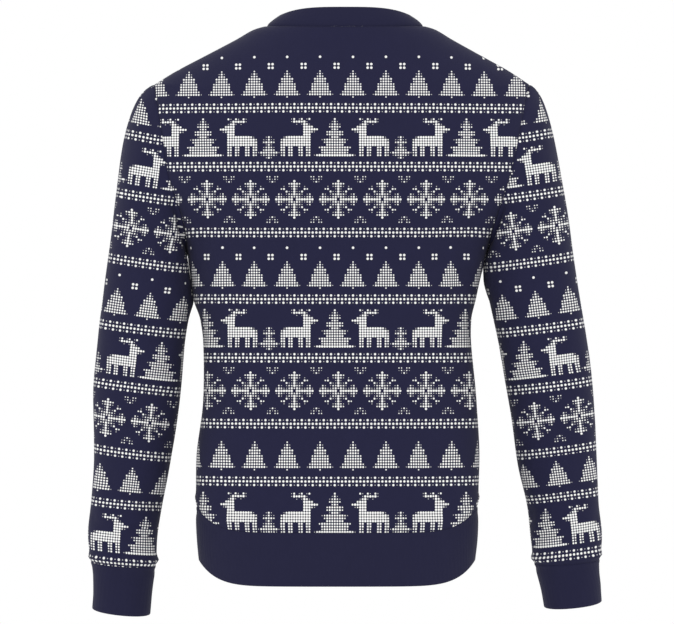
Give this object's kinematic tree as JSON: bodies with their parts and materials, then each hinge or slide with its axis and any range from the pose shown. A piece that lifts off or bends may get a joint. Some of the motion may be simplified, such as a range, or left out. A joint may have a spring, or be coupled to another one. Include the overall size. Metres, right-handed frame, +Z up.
{
  "type": "christmas sweater",
  "caption": "Crew neck knitted christmas sweater with set-in long sleeves, plain cuffs, collar and hem band, hollow and filled out as worn.",
  "frame": {"origin": "middle of the neck opening, level with the neck ends of the shoulder seams, where the wearer's neck and shoulders hold the sweater", "axes": "+Z up; the wearer faces -Y, so the back is on the +Y side; +X is the wearer's left"},
  "size_m": [0.6434, 0.244, 0.761],
  "materials": {
    "patterned_knit": "fine navy knit with white patterned bands",
    "band_knit": "plain navy fine rib knit"
  },
  "bodies": {
    "root": {"back_panel": "patterned_knit", "front_panel": "patterned_knit", "sleeve_left": "patterned_knit", "sleeve_right": "patterned_knit", "collar": "band_knit", "hem_band": "band_knit", "cuff_left": "band_knit", "cuff_right": "band_knit"}
  },
  "joints": []
}
